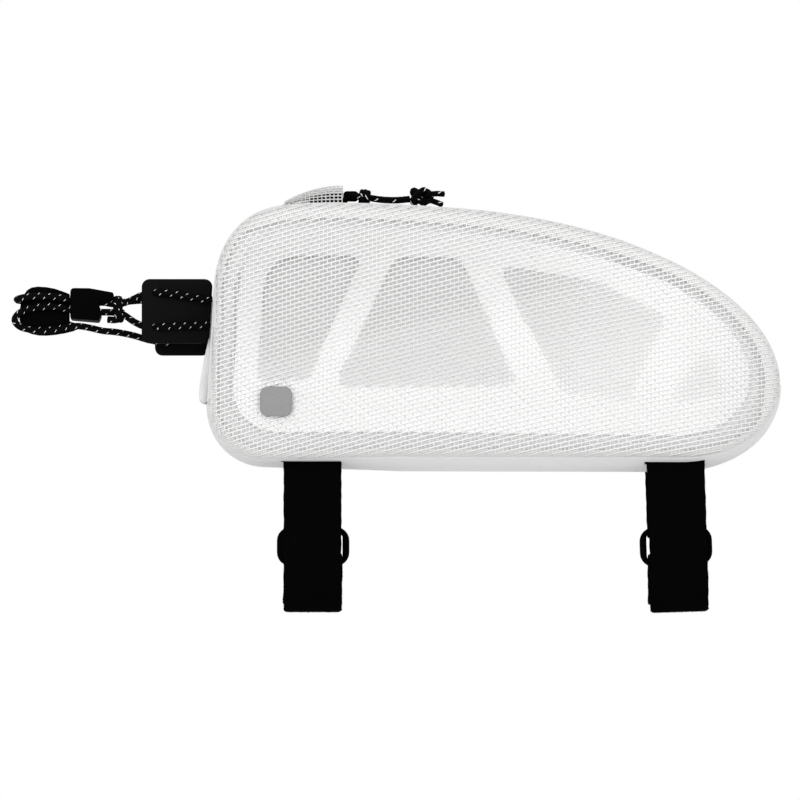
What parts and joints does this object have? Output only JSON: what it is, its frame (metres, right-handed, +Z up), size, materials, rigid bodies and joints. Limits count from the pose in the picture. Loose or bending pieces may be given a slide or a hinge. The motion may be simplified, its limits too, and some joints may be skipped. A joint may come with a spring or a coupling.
{
  "type": "top tube bag",
  "caption": "Bicycle top tube bag with pale mesh sides over truss-cut foam, a zipped top with cord pull, hook-and-loop straps and an elastic stem cord.",
  "frame": {"origin": "lowest centre line of the bottom panel, where the bag sits on the bicycle's top tube", "axes": "+X from the stem end towards the rider, the near side with the label at -Y, +Z up"},
  "size_m": [0.3361, 0.0656, 0.1878],
  "materials": {
    "mesh": "white open woven mesh",
    "foam": "white foam sheet",
    "smooth_cloth": "smooth pale coated cloth",
    "zip_cloth": "white woven tape",
    "zip_plastic": "white coil",
    "black_plastic": "smooth moulded black",
    "black_cord": "braided black sheath with pale tracer flecks",
    "pad_rubber": "fine grained matt black",
    "strap_cloth": "brushed black hook-and-loop",
    "label_grey": "plain mid grey"
  },
  "bodies": {
    "root": {"side_panel_near": "mesh", "side_panel_far": "mesh", "stiffener_near": "foam", "stiffener_far": "foam", "top_panel_near": "mesh", "top_panel_far": "mesh", "bottom_panel": "smooth_cloth", "rear_panel": "mesh", "front_panel": "mesh", "zip_tape": "zip_cloth", "zip_coil": "zip_plastic", "zip_slider": "black_plastic", "zip_garage": "mesh", "zip_pull_cord": "black_cord", "zip_pull_hitch": "black_cord", "zip_pull_knot": "black_cord", "label": "label_grey", "front_tab": "smooth_cloth", "stem_pad_near": "pad_rubber", "stem_pad_far": "pad_rubber", "shock_cord_upper": "black_cord", "shock_cord_lower": "black_cord", "cord_knot": "black_cord", "cord_hook": "black_plastic", "pull_leaf": "pad_rubber", "strap_front": "strap_cloth", "strap_rear": "strap_cloth", "ring_front": "black_plastic", "ring_rear": "black_plastic", "ring_keeper_front": "strap_cloth", "ring_keeper_rear": "strap_cloth"}
  },
  "joints": []
}
